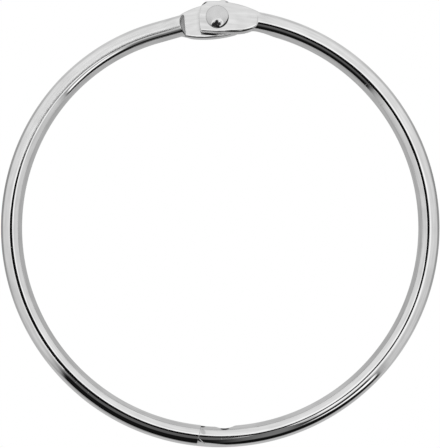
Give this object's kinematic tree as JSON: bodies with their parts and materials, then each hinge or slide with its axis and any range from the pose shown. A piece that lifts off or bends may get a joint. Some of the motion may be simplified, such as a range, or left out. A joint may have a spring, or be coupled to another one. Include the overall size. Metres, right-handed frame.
{
  "type": "binder ring",
  "caption": "Hinged loose-leaf binder ring of plated wire: half rings turn on a domed rivet through flattened ends and close with a snap pin in a crimped socket.",
  "frame": {"origin": "centre of the closed ring, in the middle plane of its wire", "axes": "+Z along the ring's axis towards the rivet's domed head, +Y towards the hinge, +X towards the socket half"},
  "size_m": [0.084, 0.0853, 0.0043],
  "materials": {
    "nickel_plate": "bright nickel plate on drawn steel wire",
    "rivet_nickel": "bright nickel plate, slightly satin"
  },
  "bodies": {
    "pin_half": {"pin_half_ring": "nickel_plate", "hinge_rivet": "rivet_nickel"},
    "socket_half": {"socket_half_ring": "nickel_plate"}
  },
  "joints": [
    {"name": "ring_hinge", "type": "hinge", "parent": "pin_half", "child": "socket_half", "pos_m": [0, 0.04005, 0], "axis": [0, 0, 1], "range_deg": [0, 150]}
  ]
}
